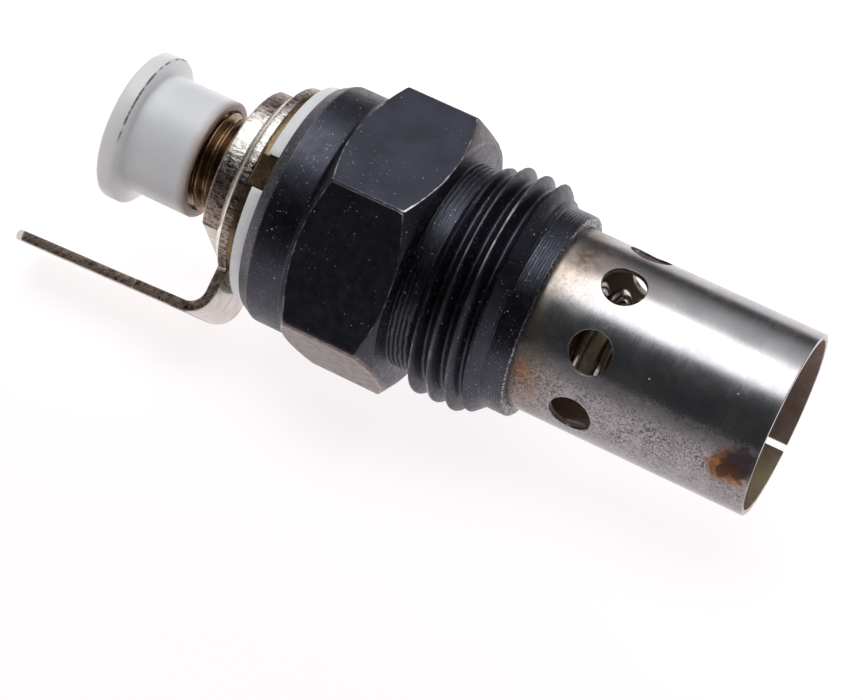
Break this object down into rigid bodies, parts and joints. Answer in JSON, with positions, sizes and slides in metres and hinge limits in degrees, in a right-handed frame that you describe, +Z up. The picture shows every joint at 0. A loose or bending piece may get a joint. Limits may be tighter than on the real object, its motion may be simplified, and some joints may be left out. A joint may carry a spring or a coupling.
{
  "type": "cold-start flame heater plug",
  "caption": "Diesel inlet-manifold flame plug: threaded hex holder, perforated flame shield over heater and igniter coils, heat-opened fuel valve, blade terminal and capped fuel inlet.",
  "frame": {"origin": "on the thread axis, in the plane of the hex face that seats on the manifold", "axes": "+X along the thread axis from the fuel inlet to the open end of the flame shield, +Z up with the plug lying on one hex flat"},
  "size_m": [0.0701, 0.0274, 0.0238],
  "materials": {
    "black_oxide_steel": "satin",
    "shield_steel": "satin",
    "white_insulator": "satin",
    "golden_washer": "gloss",
    "nickel_plate": "satin",
    "nickel_washer": "satin",
    "passivated_steel": "satin",
    "sealing_rubber": "matte",
    "bearing_steel": "polished",
    "heated_steel": "satin",
    "low_expansion_alloy": "satin",
    "coil_ceramic": "matte",
    "resistance_wire": "satin",
    "weld_metal": "satin",
    "translucent_plastic": "satin"
  },
  "bodies": {
    "plug": {"holder_body": "black_oxide_steel", "flame_shield": "shield_steel", "outer_insulator": "white_insulator", "tab_washer": "golden_washer", "blade_terminal": "nickel_plate", "terminal_washer": "nickel_washer", "terminal_nut": "nickel_plate", "inlet_adaptor": "passivated_steel", "insulating_bush": "white_insulator", "sealing_ring": "sealing_rubber", "inner_insulator": "white_insulator", "valve_seat": "passivated_steel", "valve_body": "heated_steel", "coil_sleeve": "coil_ceramic", "heater_coil": "resistance_wire", "igniter_coil": "resistance_wire", "live_weld": "weld_metal", "earth_weld": "weld_metal"},
    "cap": {"transit_cap": "translucent_plastic"},
    "needle": {"valve_needle": "low_expansion_alloy", "needle_anchor": "low_expansion_alloy"},
    "ball": {"valve_ball": "bearing_steel"}
  },
  "joints": [
    {"name": "cap_pull", "type": "slide", "parent": "plug", "child": "cap", "axis": [-1, 0, 0], "range_m": [0, 0.02]},
    {"name": "needle_lift", "type": "slide", "parent": "plug", "child": "needle", "axis": [1, 0, 0], "range_m": [0, 0.00025]},
    {"name": "ball_lift", "type": "slide", "parent": "plug", "child": "ball", "axis": [1, 0, 0], "range_m": [0, 0.00025]}
  ],
  "couplings": [
    {"joint": "ball_lift", "follows": "needle_lift", "ratio": 1}
  ]
}
